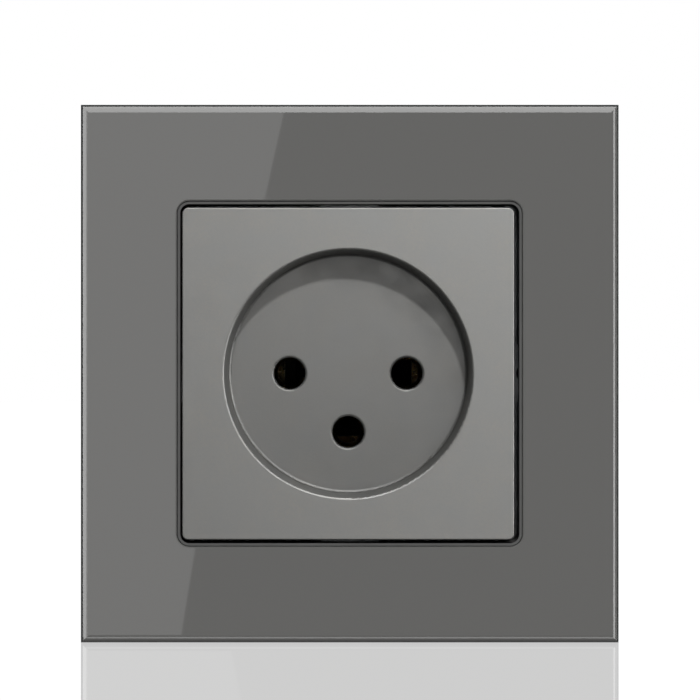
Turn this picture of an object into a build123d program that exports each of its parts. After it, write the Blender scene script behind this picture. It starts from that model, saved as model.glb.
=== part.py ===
from build123d import *
import os
from math import cos, hypot, radians, sin, tan

# A flush wall socket outlet for plugs with three round pins, in a square frame of printed glass.
# It comes apart into the glass and its plastic carrier, which clip onto a pressed steel bracket,
# and the working part behind them: the face moulding with its round recess, the contacts with
# their terminals, and the rear housing that goes into the wall box.
#
# The origin is in the middle of the bracket's back, on the surface of the wall. +Z is up, +Y goes
# into the wall, and the front looks along -Y. Sizes are in millimetres. A height is measured from
# the wall towards the room, so what lies in the wall box has a negative height. A reach is a
# distance from the middle, along one of the four sides.

# Glass panel
panel_side = 86.0
panel_height = 11.5
panel_offset = 0.25
glass_thickness = 4.0
glass_edge_radius = 1.3
glass_back_bevel = 0.4
opening_side = 55.2
opening_corner = 2.0
opening_bevel = 0.2

# Adhesive tape behind the glass
tape_thickness = 0.8
tape_width = 5.0
tape_length = 60.0
tape_reach = 34.5

# Panel carrier
carrier_inset = 1.6
carrier_corner = 2.0
carrier_plate = 1.6
rim_wall = 1.6
lip_clearance = 0.1
lip_wall = 0.4
lip_setback = 0.5
curtain_wall = 1.2
curtain_gap = 0.4
gusset_thickness = 1.0
gusset_length = 2.0
gusset_pitch = 12.0
gusset_count = 5
pry_notch_width = 9.0
pry_notch_depth = 1.6

# Catches between the carrier and the bracket
catch_spacing = 30.0
catch_width = 7.0
catch_thickness = 1.2
catch_clearance = 0.4
catch_bite = 1.0
catch_tip = 0.5
catch_foot = 0.8
catch_play = 0.2

# Steel bracket
bracket_side = 71.0
bracket_corner = 5.0
bracket_sheet = 1.2
bend_inside = 0.4
flange_length = 46.0
flange_gap = 0.5
relief_width = 1.6
relief_depth = 2.8
window_height = 1.4
window_lift = 0.3
wall_screw_spacing = 60.0
wall_slot_width = 4.2
wall_slot_length = 5.4
wall_screw_head_radius = 3.5
corner_hole_spacing = 56.0
corner_hole_radius = 1.7
bead_width = 2.8
bead_length = 11.0
bead_height = 0.6
bead_wall = 0.6
bead_taper = 30.0
bead_reach = 31.0
bead_spacing = 29.0

# Face moulding
face_side = 52.9
face_corner = 0.9
face_edge_radius = 0.15
face_proud = 0.6
face_thickness = 2.0
skirt_wall = 1.6
recess_radius = 19.8
recess_depth = 10.0
recess_draft = 2.5
recess_lip_radius = 0.35
recess_floor_radius = 0.5
cup_wall = 1.4
cup_clearance = 0.3
floor_thickness = 2.0
face_rib = 1.2
face_rib_foot = 3.0

# Plug pins and their holes
pin_reach = 9.5
pin_length = 19.0
pin_hole_radius = 2.55
pin_hole_edge = 0.4

# Contact cover
cover_thickness = 1.8
cover_gap = 0.1
cover_play = 0.4
collar_wall = 1.2
collar_length = 3.5
guide_play = 0.2

# Contacts
contact_sheet = 0.8
sleeve_bore = 2.15
sleeve_length = 10.0
sleeve_slit = 1.6
sleeve_flare = 0.45
contact_gap = 0.3
strap_step = 0.2
strap_width = 5.0
spring_sheet = 0.5
spring_length = 4.0
spring_opening = 130.0
spring_setback = 2.4

# Terminals
cage_wall = 1.2
cage_nut = 1.6
cage_length = 7.5
cage_play = 0.2
wire_space = 4.6
screw_radius = 2.0
screw_head_radius = 2.8
screw_head = 1.7
screw_slot = 0.9
screw_slot_depth = 0.9
screw_tip_gap = 0.1
screw_point = 0.5

# Rear housing
housing_corner = 9.0
housing_wall = 1.8
housing_floor = 2.0
housing_edge_radius = 0.9
pin_tip_gap = 0.4
chamber_wall = 1.4
chamber_play = 0.3
cage_stop_wall = 1.4
wire_hole_radius = 2.5
wire_hole_bevel = 0.7
wire_collar_wall = 1.4
wire_collar_height = 0.8
screw_access_play = 0.3
side_rib = 0.8
side_rib_width = 1.6
side_rib_spacing = 26.0

# Screws and pegs that hold the housing, the bracket and the face moulding together
body_screw_offset = 17.3
body_screw_radius = 1.5
body_screw_play = 0.2
body_screw_head_radius = 2.6
body_screw_head = 1.8
body_screw_grip = 5.0
body_screw_bite = 7.0
body_screw_slot = 0.7
body_screw_slot_depth = 0.9
pilot_reserve = 0.5
boss_wall = 2.0
column_wall = 1.0
peg_play = 0.1
peg_length = 2.2

# Heights and reaches that follow from those sizes
glass_back = panel_height - glass_thickness
carrier_front = glass_back - tape_thickness
carrier_back = carrier_front - carrier_plate
carrier_side = panel_side - 2 * carrier_inset
lip_side = opening_side - 2 * lip_clearance
lip_corner = opening_corner - lip_clearance
carrier_window = lip_side - 2 * lip_wall
curtain_side = carrier_window + 2 * curtain_wall
curtain_foot = bracket_sheet + curtain_gap
flange_height = carrier_back - flange_gap
flange_outside = bracket_side / 2
flange_middle = flange_outside - bracket_sheet / 2
window_bottom = bracket_sheet + bend_inside + window_lift
window_top = window_bottom + window_height
face_height = panel_height + face_proud
face_back = face_height - face_thickness
face_hollow = face_side - 2 * skirt_wall
floor_height = face_height - recess_depth
floor_back = floor_height - floor_thickness
floor_radius = recess_radius - recess_depth * tan(radians(recess_draft))
cup_radius = recess_radius + cup_wall
bracket_bore = cup_radius + cup_clearance
guide_radius = pin_hole_radius + guide_play
collar_radius = guide_radius + collar_wall
cover_front = floor_back - cover_gap
cover_back = cover_front - cover_thickness
collar_back = cover_back - collar_length
contact_front = collar_back - contact_gap
sleeve_back = contact_front - sleeve_length
sleeve_outside = sleeve_bore + contact_sheet
pin_tip = floor_height - pin_length
cage_front = pin_tip - pin_tip_gap
cage_back = cage_front - cage_length
cage_middle = (cage_front + cage_back) / 2
strap_inside = pin_reach + sleeve_bore + strap_step
strap_outside = strap_inside + contact_sheet
cage_inside = strap_inside - cage_wall
nut_inside = strap_outside + wire_space
cage_outside = nut_inside + cage_nut
cage_opening = strap_width + 2 * cage_play
cage_width = cage_opening + 2 * cage_wall
wire_reach = strap_outside + wire_space / 2
chamber_width = cage_width + 2 * chamber_play
chamber_inside = pin_reach - collar_radius - chamber_play
cage_stop_outside = cage_inside - chamber_play
housing_cavity = 2 * (cup_radius + cup_clearance)
housing_side = housing_cavity + 2 * housing_wall
cavity_corner = housing_corner - housing_wall
cavity_reach = housing_cavity / 2
housing_back = cage_back - housing_floor
wire_collar_back = housing_back - wire_collar_height
screw_access_radius = screw_head_radius + screw_access_play
screw_hole_radius = body_screw_radius + body_screw_play
well_radius = body_screw_head_radius + body_screw_play
column_radius = well_radius + column_wall
boss_radius = body_screw_radius + boss_wall
peg_radius = screw_hole_radius - peg_play
cover_radius = hypot(body_screw_offset, body_screw_offset) - column_radius - cover_play

# Where the three poles lie, as turns from +X towards +Z, seen from the room
pole_turns = {"live": 180.0, "neutral": 0.0, "earth": -90.0}
quarter_turns = (0.0, 90.0, 180.0, 270.0)
screw_corners = ((-body_screw_offset, body_screw_offset), (body_screw_offset, -body_screw_offset))
peg_corners = ((body_screw_offset, body_screw_offset), (-body_screw_offset, -body_screw_offset))


def facing(height, turn=0.0, middle=0.0):
    """The plane at a height above the wall that looks at the room, with its x axis turned."""
    across = (cos(radians(turn)), 0, sin(radians(turn)))
    return Plane(origin=(middle, -height, 0), x_dir=across, z_dir=(0, -1, 0))


def on_panel(height, turn=0.0):
    """The same for the glass and its carrier, which hang a little to one side."""
    return facing(height, turn, panel_offset)


def outward(turn, reach, height):
    """The plane that looks outward along a pole's direction, at a reach and a height."""
    across = Vector(cos(radians(turn)), 0, sin(radians(turn)))
    return Plane(origin=across * reach + Vector(0, -height, 0), x_dir=(0, -1, 0), z_dir=across)


def rings(piece, radius, height):
    """The round edges of a piece that have this radius and lie at this height."""
    circles = piece.edges().filter_by(GeomType.CIRCLE)
    return circles.filter_by(lambda e: abs(e.radius - radius) < 0.001 and abs(e.arc_center.Y + height) < 0.001)


def save(piece, name):
    """Labels a finished piece and writes it under its own name."""
    piece.part.label = name
    export_step(piece.part, f"parts/{name}.step")


def glass_panel():
    """The square pane with a round polished front edge and a square opening."""
    with BuildPart() as glass:
        with BuildSketch(on_panel(glass_back)):
            Rectangle(panel_side, panel_side)
            RectangleRounded(opening_side, opening_side, opening_corner, mode=Mode.SUBTRACT)
        extrude(amount=glass_thickness)
        front = glass.faces().sort_by(Axis.Y)[0]
        fillet(front.outer_wire().edges(), radius=glass_edge_radius)
        front = glass.faces().sort_by(Axis.Y)[0]
        chamfer(front.inner_wires()[0].edges(), length=opening_bevel)
        back = glass.faces().sort_by(Axis.Y)[-1]
        chamfer(back.outer_wire().edges(), length=glass_back_bevel)
    return glass


def panel_tape():
    """Four strips of mounting tape, one along each side of the opening."""
    with BuildPart() as tape:
        for turn in quarter_turns:
            with BuildSketch(on_panel(carrier_front, turn)):
                with Locations((tape_reach, 0)):
                    Rectangle(tape_width, tape_length)
            extrude(amount=tape_thickness)
    return tape


def panel_carrier():
    """The moulded tray behind the glass: a plate with a rim, a lip in the opening and four catches."""
    with BuildPart() as carrier:
        with BuildSketch(on_panel(0)):
            RectangleRounded(carrier_side, carrier_side, carrier_corner)
            Rectangle(carrier_side - 2 * rim_wall, carrier_side - 2 * rim_wall, mode=Mode.SUBTRACT)
        extrude(amount=carrier_front)
        with BuildSketch(on_panel(carrier_back)):
            RectangleRounded(carrier_side, carrier_side, carrier_corner)
        extrude(amount=carrier_plate)
        with BuildSketch(on_panel(curtain_foot)):
            RectangleRounded(curtain_side, curtain_side, opening_corner)
        extrude(amount=carrier_front - curtain_foot)
        with BuildSketch(on_panel(carrier_front)):
            RectangleRounded(lip_side, lip_side, lip_corner)
        extrude(amount=panel_height - lip_setback - carrier_front)
        with BuildSketch(on_panel(0)):
            RectangleRounded(carrier_window, carrier_window, lip_corner - lip_wall)
        extrude(amount=panel_height, mode=Mode.SUBTRACT)

        # the curtain makes way for the heads of the wall screws, and gussets stiffen the rim
        gusset_reach = carrier_side / 2 - rim_wall - gusset_length / 2
        for turn in quarter_turns:
            with BuildSketch(on_panel(curtain_foot, turn)):
                with Locations((curtain_side / 2, 0)):
                    Rectangle(4 * curtain_wall, 2 * wall_screw_head_radius + 2 * curtain_wall)
            extrude(amount=carrier_back - curtain_foot, mode=Mode.SUBTRACT)
            with BuildSketch(on_panel(curtain_foot, turn)):
                with Locations((gusset_reach, 0)):
                    with GridLocations(0, gusset_pitch, 1, gusset_count):
                        Rectangle(gusset_length, gusset_thickness)
            extrude(amount=carrier_back - curtain_foot)

        # each catch is an arm beside a flange of the bracket, with a tooth in the flange's window
        arm_inside = flange_outside + catch_clearance
        arm_outside = arm_inside + catch_thickness
        tip = arm_inside - catch_bite
        for side in (-1, 1):
            for row in (-1, 1):
                with BuildSketch(Plane.XY.offset(row * catch_spacing / 2 - catch_width / 2)):
                    with BuildLine():
                        Polyline(
                            (side * arm_outside, -carrier_back),
                            (side * arm_inside, -carrier_back),
                            (side * arm_inside, -window_top),
                            (side * tip, -window_top),
                            (side * tip, -window_top + catch_tip),
                            (side * arm_inside, -window_bottom - catch_play),
                            (side * arm_inside, -catch_foot),
                            (side * arm_outside, -catch_foot),
                            close=True,
                        )
                    make_face()
                extrude(amount=catch_width)

        # a notch in the lower rim takes the blade that levers the panel off
        with BuildSketch(on_panel(0, pole_turns["earth"])):
            with Locations((carrier_side / 2 - rim_wall / 2, 0)):
                Rectangle(2 * rim_wall, pry_notch_width)
        extrude(amount=pry_notch_depth, mode=Mode.SUBTRACT)
    return carrier


def mounting_bracket():
    """The pressed steel plate that is screwed to the wall box, with a folded flange on each side."""
    with BuildPart() as bracket:
        with BuildSketch(facing(0)):
            RectangleRounded(bracket_side, bracket_side, bracket_corner)
            Circle(bracket_bore, mode=Mode.SUBTRACT)
            with PolarLocations(wall_screw_spacing / 2, len(quarter_turns)):
                SlotOverall(wall_slot_length, wall_slot_width, mode=Mode.SUBTRACT)
            with GridLocations(corner_hole_spacing, corner_hole_spacing, 2, 2):
                Circle(corner_hole_radius, mode=Mode.SUBTRACT)
            with Locations(*screw_corners, *peg_corners):
                Circle(screw_hole_radius, mode=Mode.SUBTRACT)
        extrude(amount=bracket_sheet)
        for turn in quarter_turns:
            with BuildSketch(facing(0, turn)):
                with Locations((flange_outside, 0)):
                    with GridLocations(0, flange_length + relief_width, 1, 2):
                        Rectangle(2 * relief_depth, relief_width)
            extrude(amount=bracket_sheet, mode=Mode.SUBTRACT)
            with BuildSketch(facing(0, turn)):
                with Locations((flange_middle, 0)):
                    Rectangle(bracket_sheet, flange_length)
            extrude(amount=flange_height)
        for level, radius in ((-2, bend_inside), (-1, bend_inside + bracket_sheet)):
            along = bracket.edges().filter_by(lambda e: abs(e.length - flange_length) < 0.001)
            fillet(along.group_by(Axis.Y)[level], radius=radius)
        for turn in (pole_turns["live"], pole_turns["neutral"]):
            with BuildSketch(facing(window_bottom, turn)):
                with Locations((flange_middle, 0)):
                    with GridLocations(0, catch_spacing, 1, 2):
                        Rectangle(2 * bracket_sheet, catch_width + 2 * catch_play)
            extrude(amount=window_height, mode=Mode.SUBTRACT)

        # pressed beads, hollow from behind, stiffen the sheet beside the wall-screw slots
        for turn in quarter_turns:
            with BuildSketch(facing(bracket_sheet, turn)):
                with Locations((bead_reach, 0)):
                    with GridLocations(0, bead_spacing, 1, 2):
                        SlotOverall(bead_length, bead_width, rotation=90)
            extrude(amount=bead_height, taper=bead_taper)
            with BuildSketch(facing(0, turn)):
                with Locations((bead_reach, 0)):
                    with GridLocations(0, bead_spacing, 1, 2):
                        SlotOverall(bead_length - 2 * bead_wall, bead_width - 2 * bead_wall, rotation=90)
            extrude(amount=bead_height, mode=Mode.SUBTRACT)
    return bracket


def face_insert():
    """The face moulding: a square cap with a drafted round recess, pin holes, bosses and pegs."""
    with BuildPart() as face:
        with BuildSketch(facing(bracket_sheet)):
            RectangleRounded(face_side, face_side, face_corner)
        extrude(amount=face_height - bracket_sheet)
        fillet(face.faces().sort_by(Axis.Y)[0].edges(), radius=face_edge_radius)
        with BuildSketch(facing(bracket_sheet)):
            Rectangle(face_hollow, face_hollow)
        extrude(amount=face_back - bracket_sheet, mode=Mode.SUBTRACT)

        with BuildSketch(facing(floor_back)):
            Circle(cup_radius)
        extrude(amount=face_back - floor_back)
        with BuildSketch(facing(bracket_sheet)):
            with Locations(*screw_corners, *peg_corners):
                Circle(boss_radius)
        extrude(amount=face_back - bracket_sheet)
        rib_length = face_hollow / 2 + skirt_wall / 2 - recess_radius
        for turn in quarter_turns:
            with BuildSketch(facing(face_rib_foot, turn)):
                with Locations((recess_radius + rib_length / 2, 0)):
                    Rectangle(rib_length, face_rib)
            extrude(amount=face_back - face_rib_foot)

        # the recess is a turned shape with drafted sides
        with BuildSketch(Plane.XY):
            with BuildLine():
                Polyline(
                    (0, -face_height),
                    (recess_radius, -face_height),
                    (floor_radius, -floor_height),
                    (0, -floor_height),
                    close=True,
                )
            make_face()
        revolve(axis=Axis.Y, mode=Mode.SUBTRACT)
        fillet(rings(face, recess_radius, face_height), radius=recess_lip_radius)
        fillet(rings(face, floor_radius, floor_height), radius=recess_floor_radius)

        for turn in pole_turns.values():
            with BuildSketch(facing(floor_back, turn)):
                with Locations((pin_reach, 0)):
                    Circle(pin_hole_radius)
            extrude(amount=floor_thickness, mode=Mode.SUBTRACT)
        fillet(rings(face, pin_hole_radius, floor_height), radius=pin_hole_edge)

        with BuildSketch(facing(bracket_sheet)):
            with Locations(*screw_corners):
                Circle(body_screw_radius)
        extrude(amount=body_screw_bite + pilot_reserve, mode=Mode.SUBTRACT)
        with BuildSketch(facing(-peg_length)):
            with Locations(*peg_corners):
                Circle(peg_radius)
        extrude(amount=peg_length + bracket_sheet)
    return face


def contact_cover():
    """The disc that shuts the contacts in, with a guide collar behind each pin hole."""
    with BuildPart() as cover:
        with BuildSketch(facing(cover_back)):
            Circle(cover_radius)
        extrude(amount=cover_thickness)
        for turn in pole_turns.values():
            with BuildSketch(facing(collar_back, turn)):
                with Locations((pin_reach, 0)):
                    Circle(collar_radius)
            extrude(amount=collar_length)
            with BuildSketch(facing(collar_back, turn)):
                with Locations((pin_reach, 0)):
                    Circle(guide_radius)
            extrude(amount=collar_length + cover_thickness, mode=Mode.SUBTRACT)
    return cover


def contact(turn):
    """A rolled sleeve that grips the pin, on a flat strap that runs back into the terminal."""
    with BuildPart() as piece:
        with BuildSketch(facing(sleeve_back, turn)):
            with Locations((pin_reach, 0)):
                Circle(sleeve_outside)
        extrude(amount=sleeve_length)
        with BuildSketch(facing(cage_back, turn)):
            with Locations((strap_inside + contact_sheet / 2, 0)):
                Rectangle(contact_sheet, strap_width)
        extrude(amount=contact_front - sleeve_flare - cage_back)
        with BuildSketch(facing(sleeve_back, turn)):
            with Locations((pin_reach, 0)):
                Circle(sleeve_bore)
            with Locations((pin_reach - sleeve_bore, 0)):
                Rectangle(2 * sleeve_bore, sleeve_slit)
        extrude(amount=sleeve_length, mode=Mode.SUBTRACT)
        chamfer(rings(piece, sleeve_bore, contact_front), length=sleeve_flare)
    return piece


def contact_spring(turn):
    """The open steel ring that presses the sleeve together."""
    outside = sleeve_outside + spring_sheet
    half = radians(spring_opening / 2)
    with BuildPart() as spring:
        with BuildSketch(facing(contact_front - spring_setback - spring_length, turn)):
            with Locations((pin_reach, 0)):
                Circle(outside)
                Circle(sleeve_outside, mode=Mode.SUBTRACT)
                Polygon(
                    (0, 0),
                    (2 * outside * cos(half), -2 * outside * sin(half)),
                    (2 * outside, 0),
                    (2 * outside * cos(half), 2 * outside * sin(half)),
                    align=None,
                    mode=Mode.SUBTRACT,
                )
        extrude(amount=spring_length)
    return spring


def terminal_cage(turn):
    """A square brass tube round the end of the strap, with a tapped outer wall."""
    with BuildPart() as cage:
        with BuildSketch(facing(cage_back, turn)):
            with Locations(((cage_inside + cage_outside) / 2, 0)):
                Rectangle(cage_outside - cage_inside, cage_width)
            with Locations(((strap_inside + nut_inside) / 2, 0)):
                Rectangle(nut_inside - strap_inside, cage_opening, mode=Mode.SUBTRACT)
        extrude(amount=cage_length)
        with BuildSketch(outward(turn, nut_inside, cage_middle)):
            Circle(screw_radius)
        extrude(amount=cage_nut, mode=Mode.SUBTRACT)
    return cage


def terminal_screw(turn):
    """The clamping screw, backed out of the wire space, with a cross slot in its head."""
    tip = nut_inside + screw_tip_gap
    head_end = cavity_reach + screw_head
    with BuildPart() as screw:
        with BuildSketch(outward(turn, tip, cage_middle)):
            Circle(screw_radius)
        extrude(amount=cavity_reach - tip)
        with BuildSketch(outward(turn, cavity_reach, cage_middle)):
            Circle(screw_head_radius)
        extrude(amount=screw_head)
        ends = screw.faces().filter_by(GeomType.PLANE).sort_by_distance((0, -cage_middle, 0))
        fillet(ends[-1].edges(), radius=screw_head / 3)
        chamfer(ends[0].edges(), length=screw_point)
        with BuildSketch(outward(turn, head_end - screw_slot_depth, cage_middle)):
            Rectangle(screw_slot, 2 * screw_head_radius)
            Rectangle(screw_head_radius, screw_slot)
        extrude(amount=screw_slot_depth, mode=Mode.SUBTRACT)
    return screw


def rear_housing():
    """The housing in the wall box: a tray with a chamber for each pole and a column in each corner."""
    with BuildPart() as housing:
        with BuildSketch(facing(housing_back)):
            RectangleRounded(housing_side, housing_side, housing_corner)
        extrude(amount=-housing_back)
        fillet(housing.faces().sort_by(Axis.Y)[-1].edges(), radius=housing_edge_radius)
        with BuildSketch(facing(cage_back)):
            RectangleRounded(housing_cavity, housing_cavity, cavity_corner)
        extrude(amount=-cage_back, mode=Mode.SUBTRACT)

        # walls round the poles carry the contact cover, and a stop in each chamber seats the cage
        wall_inside = chamber_inside - chamber_wall
        for turn in pole_turns.values():
            with BuildSketch(facing(cage_back, turn)):
                with Locations(((wall_inside + cavity_reach) / 2, 0)):
                    Rectangle(cavity_reach - wall_inside, chamber_width + 2 * chamber_wall)
            extrude(amount=cover_back - cage_back)
        for turn in pole_turns.values():
            with BuildSketch(facing(cage_back, turn)):
                with Locations(((chamber_inside + cavity_reach) / 2, 0)):
                    Rectangle(cavity_reach - chamber_inside, chamber_width)
            extrude(amount=cover_back - cage_back, mode=Mode.SUBTRACT)
            with BuildSketch(facing(cage_back, turn)):
                with Locations((cage_stop_outside - cage_stop_wall / 2, 0)):
                    Rectangle(cage_stop_wall, chamber_width)
            extrude(amount=cage_length)

        # the columns in the corners are hollow from behind, two for screws and two for pegs
        with BuildSketch(facing(cage_back)):
            with Locations(*screw_corners, *peg_corners):
                Circle(column_radius)
        extrude(amount=-cage_back)
        with BuildSketch(facing(housing_back)):
            with Locations(*screw_corners, *peg_corners):
                Circle(well_radius)
        extrude(amount=-body_screw_grip - housing_back, mode=Mode.SUBTRACT)
        with BuildSketch(facing(-body_screw_grip)):
            with Locations(*screw_corners):
                Circle(screw_hole_radius)
        extrude(amount=body_screw_grip, mode=Mode.SUBTRACT)
        with BuildSketch(facing(-peg_length - body_screw_play)):
            with Locations(*peg_corners):
                Circle(screw_hole_radius)
        extrude(amount=peg_length + body_screw_play, mode=Mode.SUBTRACT)

        # wires come in from behind through raised funnels, and the screwdriver from the side
        for turn in pole_turns.values():
            with BuildSketch(facing(wire_collar_back, turn)):
                with Locations((wire_reach, 0)):
                    Circle(wire_hole_radius + wire_collar_wall)
            extrude(amount=wire_collar_height)
            with BuildSketch(facing(wire_collar_back, turn)):
                with Locations((wire_reach, 0)):
                    Circle(wire_hole_radius)
            extrude(amount=wire_collar_height + housing_floor, mode=Mode.SUBTRACT)
            with BuildSketch(outward(turn, cavity_reach, cage_middle)):
                Circle(screw_access_radius)
            extrude(amount=housing_wall, mode=Mode.SUBTRACT)
        chamfer(rings(housing, wire_hole_radius, wire_collar_back), length=wire_hole_bevel)

        # two ribs on each side steady the housing in its box
        for turn in quarter_turns:
            with BuildSketch(facing(cage_back, turn)):
                with Locations((housing_side / 2, 0)):
                    with GridLocations(0, side_rib_spacing, 1, 2):
                        Rectangle(2 * side_rib, side_rib_width)
            extrude(amount=-cage_back)
    return housing


def body_screws():
    """The two screws that come from behind through the housing and the bracket into the face."""
    with BuildPart() as screws:
        with BuildSketch(facing(-body_screw_grip)):
            with Locations(*screw_corners):
                Circle(body_screw_radius)
        extrude(amount=body_screw_grip + bracket_sheet + body_screw_bite)
        with BuildSketch(facing(-body_screw_grip - body_screw_head)):
            with Locations(*screw_corners):
                Circle(body_screw_head_radius)
        extrude(amount=body_screw_head)
        fillet(rings(screws, body_screw_head_radius, -body_screw_grip - body_screw_head), radius=body_screw_head / 3)
        with BuildSketch(facing(-body_screw_grip - body_screw_head)):
            with Locations(*screw_corners):
                Rectangle(2 * body_screw_radius, body_screw_slot)
                Rectangle(body_screw_slot, 2 * body_screw_radius)
        extrude(amount=body_screw_slot_depth, mode=Mode.SUBTRACT)
    return screws


os.makedirs("parts", exist_ok=True)
save(glass_panel(), "glass_panel")
save(panel_tape(), "panel_tape")
save(panel_carrier(), "panel_carrier")
save(mounting_bracket(), "mounting_bracket")
save(face_insert(), "face_insert")
save(contact_cover(), "contact_cover")
save(rear_housing(), "rear_housing")
save(body_screws(), "body_screws")
for pole, pole_turn in pole_turns.items():
    save(contact(pole_turn), f"{pole}_contact")
    save(contact_spring(pole_turn), f"{pole}_contact_spring")
    save(terminal_cage(pole_turn), f"{pole}_terminal_cage")
    save(terminal_screw(pole_turn), f"{pole}_terminal_screw")
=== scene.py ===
from math import radians

import bpy
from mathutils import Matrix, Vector


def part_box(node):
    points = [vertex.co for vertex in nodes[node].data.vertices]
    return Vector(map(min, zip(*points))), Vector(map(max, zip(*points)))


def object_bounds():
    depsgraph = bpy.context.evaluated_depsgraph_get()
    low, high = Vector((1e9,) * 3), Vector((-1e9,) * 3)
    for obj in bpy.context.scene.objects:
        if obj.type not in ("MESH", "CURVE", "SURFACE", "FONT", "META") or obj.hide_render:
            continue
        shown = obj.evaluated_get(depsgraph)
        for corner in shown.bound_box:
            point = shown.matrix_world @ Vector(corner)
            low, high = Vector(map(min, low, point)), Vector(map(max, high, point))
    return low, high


# Looks for a flush wall socket outlet in a square frame of grey printed glass.
# Lengths are in metres, in the frame's own axes: the front looks along -Y and +Z is up.
# The materials measure in millimetres.

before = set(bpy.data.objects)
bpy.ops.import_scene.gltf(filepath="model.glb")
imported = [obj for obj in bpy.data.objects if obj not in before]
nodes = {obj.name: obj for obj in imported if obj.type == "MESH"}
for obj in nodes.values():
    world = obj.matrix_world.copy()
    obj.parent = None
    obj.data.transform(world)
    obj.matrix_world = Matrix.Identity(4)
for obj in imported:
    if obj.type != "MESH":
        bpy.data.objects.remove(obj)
cad_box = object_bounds()

MM = 0.001
poles = ("live", "neutral", "earth")

# The photograph: a square frame of 86 mm seen from straight ahead
photo_side = 700
photo_centre_px = photo_side / 2
panel_width_px = 538.75
panel_centre_px = (349.75, 373.7)
camera_distance = 0.6
sensor_width_mm = 36.0
nearest_seen = 0.01
farthest_seen = 20.0

# Colours, linear
white = (1.0, 1.0, 1.0)
black = (0.0, 0.0, 0.0)
print_grey = (0.166, 0.165, 0.160)
glass_edge_colour = (0.022, 0.027, 0.026)
glass_side_colour = (0.055, 0.090, 0.080)
face_grey = (0.188, 0.186, 0.178)
carrier_grey = (0.120, 0.120, 0.118)
housing_black = (0.022, 0.022, 0.024)
# The contact cover: black plastic made darker than the housing as painted shade, since it shows in the holes
cover_shade_black = (0.004, 0.004, 0.004)
zinc = (0.60, 0.61, 0.62)
# The contacts' brass, darkened below the cage's brass as painted shade, since the contacts show deep in the
# holes
darkened_brass = (0.45, 0.33, 0.16)
cage_brass = (0.70, 0.56, 0.30)
spring_blue = (0.16, 0.17, 0.19)
tape_white = (0.72, 0.72, 0.69)

# Factors of a colour: a cool and a warm tint, and how far a fine grain takes it up and down
cool = (0.97, 0.985, 1.0)
warm = (1.03, 1.01, 0.98)
grain_depth = 0.015

# How far along Y the glass looks where its print gives way to the edge, and the edge to the side
print_end = (-0.72, -0.45)
edge_end = (-0.15, -0.05)

# Shade painted into the recess, in millimetres: the colour turns darker between two depths behind the front,
# by one of these factors at the lower height and by the other at the upper one, so the recess is darker
# towards its bottom
recess_depths = (0.1, 0.5)
recess_heights = (-18.0, 18.0)
recess_painted_shade = (0.65, 0.90)

# Most values of a noise texture lie between these two, and this scale draws it out along no axis
noise_low = 0.3
noise_high = 0.7
even = (1.0, 1.0, 1.0)

# The lamps: their strength in watts, and where they stand, seen from the middle of the front
panel_lamp = dict(watts=76.5, towards=(0.1, -0.9, 0.4), distance=3.0, size=0.4)
face_lamps = {
    "face_key": dict(watts=4.1, towards=(0.094, -0.894, 0.439), distance=1.0, size=0.052, shape="DISK"),
    "face_ahead": dict(watts=3.1, towards=(0.0, -1.0, 0.0), distance=1.5, size=0.6),
    "face_top": dict(watts=0.14, towards=(0.15, -0.3, 1.0), distance=0.5, size=0.3),
    "face_left": dict(watts=0.14, towards=(-1.0, -0.35, 0.1), distance=0.5, size=0.3),
    "face_right": dict(watts=0.26, towards=(1.0, -0.35, 0.2), distance=0.5, size=0.3),
    "face_corner": dict(watts=0.20, towards=(0.42, -0.80, 0.42), distance=0.32, size=0.12),
}
gloss_lamps = {
    "rim_top": dict(watts=2.3, towards=(0.0, -0.1, 1.0), distance=0.3, size=0.3),
    "rim_right": dict(watts=2.2, towards=(1.0, -0.1, 0.1), distance=0.3, size=0.3),
    "hole_top": dict(watts=0.22, towards=(0.0, -1.0, 1.0), distance=0.3, size=0.15),
    "hole_right": dict(watts=0.16, towards=(1.0, -1.0, 0.1), distance=0.3, size=0.15),
}
back_lamps = {
    "back_left": dict(watts=14.0, towards=(-0.6, 0.8, 0.7), distance=1.2, size=0.6),
    "back_right": dict(watts=14.0, towards=(0.8, 0.7, 0.4), distance=1.2, size=0.6),
}

# How bright the room is for the object, and how bright the camera sees it
room_level = 0.028
backdrop_level = 1.0

# The card at the left, whose slanting edge the photograph shows in the glass
left_card_level = 1.05
card_distance = 0.5
card_end = -0.24
card_edge_px = ((290, 80), (285, 108), (265, 198), (229, 380), (195, 550), (180, 643), (170, 700))

# The soft boxes that the polished edges mirror, with their spans along Y
top_level = 5.0
top_height = 0.35
top_span = (-2.0, 0.03)
half_width = 0.4
left_level = 5.5
left_span = (-0.40, 0.03)
near_left_level = 2.8
near_left_span = (-0.80, -0.40)
right_level = 6.0
right_span = (-0.40, -0.16)
side_reach = 0.4
half_height = 0.11

# The two strips just under the floor that the lower edge mirrors, by how far before the front they lie
lit_level = 2.7
lit_span = (1.3 * MM, 0.35 * MM)
shaded_level = 0.4
shaded_span = (0.35 * MM, -1.5 * MM)
strip_drop = 0.1 * MM

# The floor, the white paper round it and the black strips of painted shade behind the gap
floor_glow = 1.0
floor_mirror = 0.44
floor_roughness = 0.02
floor_reach = 2.7
paper_level = 1.05
paper_reach = 2.8
paper_split = 0.02
shade_strip_reach = 0.036
shade_strip_gap = 0.3 * MM


def shade(colour, *factors):
    """A colour made lighter or darker, by one factor or by one for each channel."""
    if len(factors) == 1:
        factors *= 3
    return [c * f for c, f in zip(colour, factors)]


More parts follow.
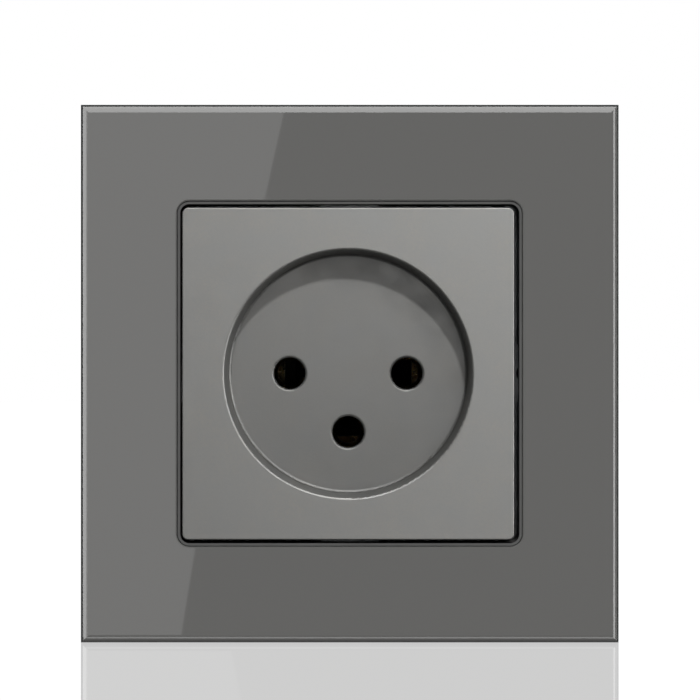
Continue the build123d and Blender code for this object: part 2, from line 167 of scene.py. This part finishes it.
class Shader:
    """A material with one Principled shader, and short calls that add texture nodes to it."""

    def __init__(self, name, colour, roughness, metallic=0.0):
        self.material = bpy.data.materials.new(name)
        self.material.use_nodes = True
        self.tree = self.material.node_tree
        self.principled = self.tree.nodes["Principled BSDF"]
        self.set("Base Color", (*colour, 1.0))
        self.set("Roughness", roughness)
        self.set("Metallic", metallic)
        self.colour = colour
        self.roughness = roughness
        self.bump = None

    def set(self, socket, value):
        """Gives a socket of the shader one value all over."""
        self.principled.inputs[socket].default_value = value

    def drive(self, socket, source):
        """Gives a socket of the shader the output of a node."""
        self.tree.links.new(source, self.principled.inputs[socket])

    def add(self, kind, links=(), **values):
        """A new node, with values for its properties and links into it."""
        made = self.tree.nodes.new(kind)
        for key, value in values.items():
            setattr(made, key, value)
        for source, socket in links:
            self.tree.links.new(source, made.inputs[socket])
        return made

    def millimetres(self, scale=even):
        """The place on the object in millimetres, scaled along each axis."""
        place = self.add("ShaderNodeTexCoord").outputs["Object"]
        scaled = self.add("ShaderNodeVectorMath", [(place, 0)], operation="MULTIPLY")
        scaled.inputs[1].default_value = [s / MM for s in scale]
        return scaled.outputs[0]

    def noise(self, size, detail=3.0, scale=even):
        """Noise with features of about this size in millimetres. A scale under 1 draws them out."""
        made = self.add("ShaderNodeTexNoise", [(self.millimetres(scale), "Vector")])
        made.inputs["Scale"].default_value = 1 / size
        made.inputs["Detail"].default_value = detail
        return made.outputs["Fac"]

    def spread(self, value, first=0.0, last=1.0, start=noise_low, end=noise_high):
        """Turns a value that goes from start to end into one that goes from first to last."""
        made = self.add("ShaderNodeMapRange", [(value, "Value")])
        for socket, number in (("From Min", start), ("From Max", end), ("To Min", first), ("To Max", last)):
            made.inputs[socket].default_value = number
        return made.outputs["Result"]

    def blend(self, factor, low, high):
        """A colour between two, each given as a colour or as the output of a node."""
        made = self.add("ShaderNodeMix", [(factor, "Factor")], data_type="RGBA")
        for name, colour in (("A", low), ("B", high)):
            socket = next(s for s in made.inputs if s.name == name and s.type == "RGBA")
            if isinstance(colour, bpy.types.NodeSocket):
                self.tree.links.new(colour, socket)
            else:
                socket.default_value = (*colour, 1.0)
        return next(s for s in made.outputs if s.type == "RGBA")

    def times(self, first, second):
        """Two colours multiplied."""
        return self.add("ShaderNodeVectorMath", [(first, 0), (second, 1)], operation="MULTIPLY").outputs[0]

    def along(self, axis):
        """How far along an axis of the frame a point of the surface lies, in millimetres."""
        return self.add("ShaderNodeSeparateXYZ", [(self.millimetres(), 0)]).outputs[axis]

    def facing(self, axis):
        """How far the surface, without its relief, looks along an axis of the frame, from -1 to 1."""
        normal = self.add("ShaderNodeNewGeometry").outputs["Normal"]
        return self.add("ShaderNodeSeparateXYZ", [(normal, 0)]).outputs[axis]

    def mottle(self, size, amount, detail=3.0):
        """Lightens and darkens the base colour in patches."""
        factor = self.spread(self.noise(size, detail))
        patches = self.blend(factor, shade(self.colour, 1 - amount), shade(self.colour, 1 + amount))
        self.drive("Base Color", patches)

    def vary_roughness(self, size, amount):
        """Lets the roughness vary about its mean."""
        patches = self.noise(size, detail=2.0)
        self.drive("Roughness", self.spread(patches, self.roughness - amount, self.roughness + amount))

    def relief(self, height, depth):
        """Adds a bump whose full height is depth, in millimetres."""
        made = self.add("ShaderNodeBump", [(height, "Height")])
        made.inputs["Distance"].default_value = depth * MM
        if self.bump is not None:
            self.tree.links.new(self.bump, made.inputs["Normal"])
        self.bump = made.outputs["Normal"]
        self.drive("Normal", self.bump)

    def dress(self, *names):
        """Gives the material to these nodes."""
        for name in names:
            nodes[name].data.materials.clear()
            nodes[name].data.materials.append(self.material)


def printed_glass():
    """Clear glass over a grey print: the front shows the print, the polished edges look dark."""
    glass = Shader("glass", print_grey, roughness=0.015)
    glass.set("IOR", 1.52)
    grain = glass.spread(glass.noise(size=0.08, detail=2.0))
    printed = glass.blend(grain, shade(print_grey, 1 - grain_depth), shade(print_grey, 1 + grain_depth))
    front = glass.spread(glass.facing("Y"), 1.0, 0.0, *print_end)
    side = glass.spread(glass.facing("Y"), 0.0, 1.0, *edge_end)
    edge = glass.blend(side, glass_edge_colour, glass_side_colour)
    glass.drive("Base Color", glass.blend(front, edge, printed))
    glass.dress("glass_panel")


def satin_face():
    """Silver-grey satin lacquer on a moulding with a fine grain, and shade painted into the recess, darker
    towards its bottom.
    """
    face = Shader("face", face_grey, roughness=0.42, metallic=0.5)
    clouds = face.spread(face.noise(size=5.0, detail=4.0))
    grain = face.spread(face.noise(size=0.35))
    cool_grey = shade(face_grey, *cool)
    warm_grey = shade(face_grey, *warm)
    dark_grain = shade(cool_grey, 1 - grain_depth)
    lacquer = face.blend(grain, dark_grain, face.blend(clouds, cool_grey, warm_grey))
    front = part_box("face_insert")[0].y / MM
    # Painted shade: the colour in the recess is darkened, most towards its bottom
    painted_shade = face.spread(face.along("Z"), *recess_painted_shade, *recess_heights)
    shade_mask = face.spread(face.along("Y"), 0.0, 1.0, *[front + depth for depth in recess_depths])
    face.drive("Base Color", face.times(lacquer, face.blend(shade_mask, white, painted_shade)))
    face.vary_roughness(size=3.0, amount=0.04)
    face.relief(face.noise(size=0.25), depth=0.006)
    face.relief(face.noise(size=2.5, detail=2.0), depth=0.004)
    face.dress("face_insert")


def moulded_plastic(name, names, colour, roughness, grain):
    """Plain moulded plastic with the fine texture of a spark-eroded tool."""
    plastic = Shader(name, colour, roughness)
    plastic.mottle(size=4.0, amount=0.06)
    plastic.vary_roughness(size=1.5, amount=0.06)
    plastic.relief(plastic.noise(size=0.28, detail=4.0), depth=grain)
    plastic.dress(*names)


def plated_steel(name, names):
    """Zinc-plated sheet or screw steel, with faint rolling marks and cloudy plating."""
    steel = Shader(name, zinc, roughness=0.34, metallic=1.0)
    steel.mottle(size=2.2, amount=0.06, detail=4.0)
    steel.vary_roughness(size=1.2, amount=0.06)
    steel.relief(steel.noise(size=0.9, scale=(0.08, 1.0, 1.0)), depth=0.0015)
    steel.relief(steel.noise(size=0.15, detail=2.0), depth=0.002)
    steel.dress(*names)


def stamped_brass(name, names, colour, scale):
    """Brass with drawing marks and a little tarnish."""
    metal = Shader(name, colour, roughness=0.3, metallic=1.0)
    metal.mottle(size=1.8, amount=0.12, detail=4.0)
    metal.vary_roughness(size=0.8, amount=0.08)
    metal.relief(metal.noise(size=0.5, scale=scale), depth=0.004)
    metal.dress(*names)


def spring_steel(names):
    """Dark tempered spring steel."""
    steel = Shader("spring_steel", spring_blue, roughness=0.32, metallic=1.0)
    steel.mottle(size=0.9, amount=0.2)
    steel.vary_roughness(size=0.6, amount=0.08)
    steel.relief(steel.noise(size=0.2, detail=2.0), depth=0.002)
    steel.dress(*names)


def foam_tape():
    """White foam tape with open cells along its cut sides."""
    tape = Shader("tape", tape_white, roughness=0.85)
    tape.mottle(size=0.25, amount=0.12)
    tape.relief(tape.noise(size=0.2), depth=0.05)
    tape.dress("panel_tape")


def per_pole(suffix):
    """The names of a node that each pole has."""
    return [f"{pole}_{suffix}" for pole in poles]


# Every node's material
printed_glass()
satin_face()
foam_tape()
moulded_plastic("carrier", ["panel_carrier"], carrier_grey, roughness=0.5, grain=0.012)
moulded_plastic("housing", ["rear_housing"], housing_black, roughness=0.48, grain=0.02)
moulded_plastic("cover", ["contact_cover"], cover_shade_black, roughness=0.55, grain=0.015)
plated_steel("bracket", ["mounting_bracket"])
plated_steel("screw_steel", ["body_screws", *per_pole("terminal_screw")])
stamped_brass("contact_brass", per_pole("contact"), darkened_brass, scale=(1.0, 0.12, 1.0))
stamped_brass("cage_brass", per_pole("terminal_cage"), cage_brass, scale=(1.0, 1.0, 0.3))
spring_steel(per_pole("contact_spring"))


# The stage: a white glossy surface under the object, white paper all round and soft studio light
panel_low, panel_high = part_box("glass_panel")
panel_centre = (panel_low + panel_high) / 2
front_y = panel_low.y
floor_z = cad_box[0].z
metres_per_px = (panel_high.x - panel_low.x) / panel_width_px


def bare_tree(owner):
    """The node tree of a new material or world, emptied."""
    owner.use_nodes = True
    owner.node_tree.nodes.clear()
    return owner.node_tree


def emission(name, level):
    """A plain glowing material for a card of the studio."""
    material = bpy.data.materials.new(name)
    tree = bare_tree(material)
    glow = tree.nodes.new("ShaderNodeEmission")
    glow.inputs["Color"].default_value = (*white, 1.0)
    glow.inputs["Strength"].default_value = level
    output = tree.nodes.new("ShaderNodeOutputMaterial")
    tree.links.new(glow.outputs[0], output.inputs["Surface"])
    return material


def choose(tree, question, if_no, if_yes, output_kind):
    """Sends one of two shaders to the output, as a socket of 0 or 1 says."""
    mix = tree.nodes.new("ShaderNodeMixShader")
    output = tree.nodes.new(output_kind)
    tree.links.new(question, mix.inputs["Fac"])
    tree.links.new(if_no, mix.inputs[1])
    tree.links.new(if_yes, mix.inputs[2])
    tree.links.new(mix.outputs[0], output.inputs["Surface"])


def one_sided(tree, seen):
    """Shows this shader from the front of a card. From behind the card is clear."""
    behind = tree.nodes.new("ShaderNodeNewGeometry").outputs["Backfacing"]
    clear = tree.nodes.new("ShaderNodeBsdfTransparent").outputs[0]
    choose(tree, behind, seen, clear, "ShaderNodeOutputMaterial")


def flat(name, corners, material, **rays):
    """A flat staged card with these corners. Rays says which rays see it."""
    mesh = bpy.data.meshes.new(name)
    mesh.from_pydata([tuple(c) for c in corners], [], [tuple(range(len(corners)))])
    mesh.materials.append(material)
    card = bpy.data.objects.new(name, mesh)
    bpy.context.scene.collection.objects.link(card)
    for kind, seen in rays.items():
        setattr(card, f"visible_{kind}", seen)
    return card


def rectangle(axis, place, first, second):
    """The corners of a rectangle across an axis, with its two spans along the other axes."""
    corners = []
    for a, b in ((first[0], second[0]), (first[1], second[0]), (first[1], second[1]), (first[0], second[1])):
        corner = [a, b]
        corner.insert(axis, place)
        corners.append(corner)
    return corners


def light_only(source, receivers):
    """Lets a lamp or a card light these objects alone."""
    group = bpy.data.collections.new(source.name + "_lights")
    for receiver in receivers:
        group.objects.link(receiver)
    source.light_linking.receiver_collection = group


def gloss_card(name, corners, level, mirrors):
    """A glowing card that only these objects mirror."""
    card = flat(name, corners, emission(name, level), camera=False, diffuse=False, shadow=False)
    light_only(card, mirrors)


def glossy_floor():
    """White acrylic that glows a little by itself and mirrors what stands on it."""
    material = bpy.data.materials.new("floor")
    tree = bare_tree(material)
    glow = tree.nodes.new("ShaderNodeEmission")
    glow.inputs["Strength"].default_value = floor_glow
    mirror = tree.nodes.new("ShaderNodeBsdfGlossy")
    mirror.inputs["Color"].default_value = (*white, 1.0)
    mirror.inputs["Roughness"].default_value = floor_roughness
    mix = tree.nodes.new("ShaderNodeMixShader")
    mix.inputs["Fac"].default_value = floor_mirror
    tree.links.new(glow.outputs[0], mix.inputs[1])
    tree.links.new(mirror.outputs[0], mix.inputs[2])
    one_sided(tree, mix.outputs[0])
    wide = (-floor_reach, floor_reach)
    corners = rectangle(2, floor_z, wide, wide)
    return flat("floor", corners, material, diffuse=False, glossy=False, shadow=False, transmission=False)


def paper(floor):
    """White paper all round, mirrored by the floor. Its back half lights all that the wall would hide."""
    in_front = ("glass_panel", "face_insert")
    hidden = [node for name, node in nodes.items() if name not in in_front]
    wide = (-paper_reach, paper_reach)
    before = (-paper_reach, paper_split)
    behind = (paper_split, paper_reach)
    front_walls = {
        "paper_front": rectangle(1, -paper_reach, wide, wide),
        "paper_front_left": rectangle(0, -paper_reach, before, wide),
        "paper_front_right": rectangle(0, paper_reach, before, wide),
        "paper_front_top": rectangle(2, paper_reach, wide, before),
    }
    back_walls = {
        "paper_back": rectangle(1, paper_reach, wide, wide),
        "paper_back_left": rectangle(0, -paper_reach, behind, wide),
        "paper_back_right": rectangle(0, paper_reach, behind, wide),
        "paper_back_top": rectangle(2, paper_reach, wide, behind),
        "paper_back_bottom": rectangle(2, -paper_reach, wide, behind),
    }
    white_paper = emission("paper", paper_level)
    for name, corners in front_walls.items():
        light_only(flat(name, corners, white_paper, camera=False, diffuse=False, shadow=False), [floor])
    for name, corners in back_walls.items():
        light_only(flat(name, corners, white_paper, camera=False, shadow=False), [floor, *hidden])


def painted_shade_strips():
    """Black strips of painted shade round the housing, behind the gap, where the wall would lie in shadow.
    They can't be seen from behind.
    """
    # Painted shade: this black material stands where the gap would only be in shadow
    material = bpy.data.materials.new("dark")
    tree = bare_tree(material)
    dark = tree.nodes.new("ShaderNodeBsdfDiffuse")
    dark.inputs["Color"].default_value = (*black, 1.0)
    one_sided(tree, dark.outputs[0])
    low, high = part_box("rear_housing")
    wide = (panel_centre.x - shade_strip_reach, panel_centre.x + shade_strip_reach)
    tall = (panel_centre.z - shade_strip_reach, panel_centre.z + shade_strip_reach)
    strips = {
        "shade_left": ((wide[0], low.x), tall),
        "shade_right": ((high.x, wide[1]), tall),
        "shade_top": (wide, (high.z, tall[1])),
        "shade_bottom": (wide, (tall[0], low.z)),
    }
    wall_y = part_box("panel_carrier")[1].y + shade_strip_gap
    for name, (across, up) in strips.items():
        flat(name, rectangle(1, wall_y, across, up), material, diffuse=False, glossy=False, shadow=False)


def room():
    """White for the camera, and an even dark grey for everything that the object reflects."""
    world = bpy.data.worlds.new("studio")
    bpy.context.scene.world = world
    tree = bare_tree(world)
    levels = []
    for level in (room_level, backdrop_level):
        background = tree.nodes.new("ShaderNodeBackground")
        background.inputs["Color"].default_value = (*white, 1.0)
        background.inputs["Strength"].default_value = level
        levels.append(background.outputs[0])
    for_camera = tree.nodes.new("ShaderNodeLightPath").outputs["Is Camera Ray"]
    choose(tree, for_camera, *levels, "ShaderNodeOutputWorld")


def lamp(name, watts, towards, distance, size, shape="SQUARE", glossy=True, diffuse=True, only=()):
    """An area lamp that looks at the front. Only names the nodes that it lights, if not all."""
    data = bpy.data.lights.new(name, "AREA")
    data.shape = shape
    data.size = size
    data.energy = watts
    lit = bpy.data.objects.new(name, data)
    bpy.context.scene.collection.objects.link(lit)
    direction = Vector(towards).normalized()
    lit.location = Vector((0.0, front_y, 0.0)) + direction * distance
    lit.rotation_euler = direction.to_track_quat("Z", "Y").to_euler()
    lit.visible_camera = False
    lit.visible_glossy = glossy
    lit.visible_diffuse = diffuse
    if only:
        light_only(lit, [nodes[node] for node in only])


def lamps():
    """The face's key throws the crescent into the recess. The gloss lamps light its rims and holes."""
    lamp("panel_far", **panel_lamp, glossy=False, only=["glass_panel", "panel_carrier"])
    for name, values in face_lamps.items():
        lamp(name, **values, only=["face_insert"])
    for name, values in gloss_lamps.items():
        lamp(name, **values, diffuse=False, only=["face_insert"])
    for name, values in back_lamps.items():
        lamp(name, **values, glossy=False)


def mirrored_card(mirrors, eye):
    """The card at the left, so placed that the glass mirrors its edge where the photograph has it."""
    ahead = 1 + card_distance / camera_distance
    card_y = front_y - card_distance
    outline = []
    for x, y in card_edge_px:
        across = (x - photo_centre_px) * metres_per_px
        up = (photo_centre_px - y) * metres_per_px
        outline.append((eye.x + across * ahead, card_y, eye.z + up * ahead))
    outline.append((card_end, card_y, outline[-1][2]))
    outline.append((card_end, card_y, outline[0][2]))
    gloss_card("left_card", outline, left_card_level, mirrors)


def soft_boxes(mirrors):
    """Boxes above, beside and under the object, which its polished edges mirror."""
    across = (-half_width, half_width)
    upright = (-half_height, half_height)
    lit = [front_y - reach for reach in lit_span]
    shaded = [front_y - reach for reach in shaded_span]
    strip_z = floor_z - strip_drop
    boxes = {
        "top_box": (top_level, rectangle(2, top_height, across, top_span)),
        "left_box": (left_level, rectangle(0, -side_reach, left_span, upright)),
        "near_left_box": (near_left_level, rectangle(0, -side_reach, near_left_span, upright)),
        "right_box": (right_level, rectangle(0, side_reach, right_span, upright)),
        "lit_floor": (lit_level, rectangle(2, strip_z, across, lit)),
        "shaded_floor": (shaded_level, rectangle(2, strip_z, across, shaded)),
    }
    for name, (level, corners) in boxes.items():
        gloss_card(name, corners, level, mirrors)


def camera():
    """A long lens straight ahead, level with the middle of the photograph."""
    data = bpy.data.cameras.new("camera")
    data.sensor_width = sensor_width_mm
    data.lens = sensor_width_mm * camera_distance / (photo_side * metres_per_px)
    data.clip_start = nearest_seen
    data.clip_end = farthest_seen
    eye = bpy.data.objects.new("camera", data)
    bpy.context.scene.collection.objects.link(eye)
    eye.location = (
        panel_centre.x + (photo_centre_px - panel_centre_px[0]) * metres_per_px,
        front_y - camera_distance,
        panel_centre.z + (panel_centre_px[1] - photo_centre_px) * metres_per_px,
    )
    eye.rotation_euler = (radians(90), 0, 0)
    bpy.context.scene.camera = eye
    return eye.location.copy()


camera_place = camera()
bpy.context.scene.view_settings.view_transform = "Standard"
room()
white_floor = glossy_floor()
glass_and_floor = [nodes["glass_panel"], white_floor]
paper(white_floor)
painted_shade_strips()
lamps()
mirrored_card(glass_and_floor, camera_place)
soft_boxes(glass_and_floor)
